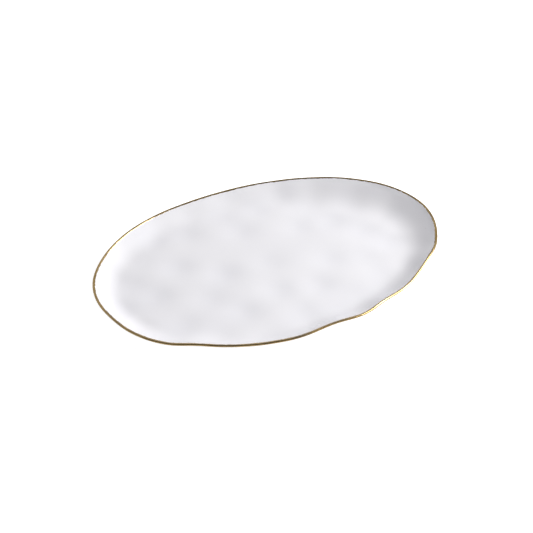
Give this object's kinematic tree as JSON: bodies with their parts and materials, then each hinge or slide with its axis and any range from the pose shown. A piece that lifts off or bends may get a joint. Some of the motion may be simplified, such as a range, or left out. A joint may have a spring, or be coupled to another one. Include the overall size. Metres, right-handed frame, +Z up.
{
  "type": "serving platter",
  "caption": "Shallow oval serving platter with a dimpled well, a flared wavy rim that sweeps up at one end and is edged with a fired gold band, and an oval foot ring underneath.",
  "frame": {"origin": "on the table, under the middle of the outline", "axes": "+X along the platter to its raised end, +Y across it, +Z up out of the well; the wavier long edge is on the -Y side"},
  "size_m": [0.3702, 0.2508, 0.0235],
  "materials": {
    "porcelain_glaze": "gloss",
    "foot_bisque": "matte",
    "gold_lustre": "polished"
  },
  "bodies": {
    "root": {"porcelain_body": "porcelain_glaze", "foot_ring": "foot_bisque", "gold_rim": "gold_lustre"}
  },
  "joints": []
}
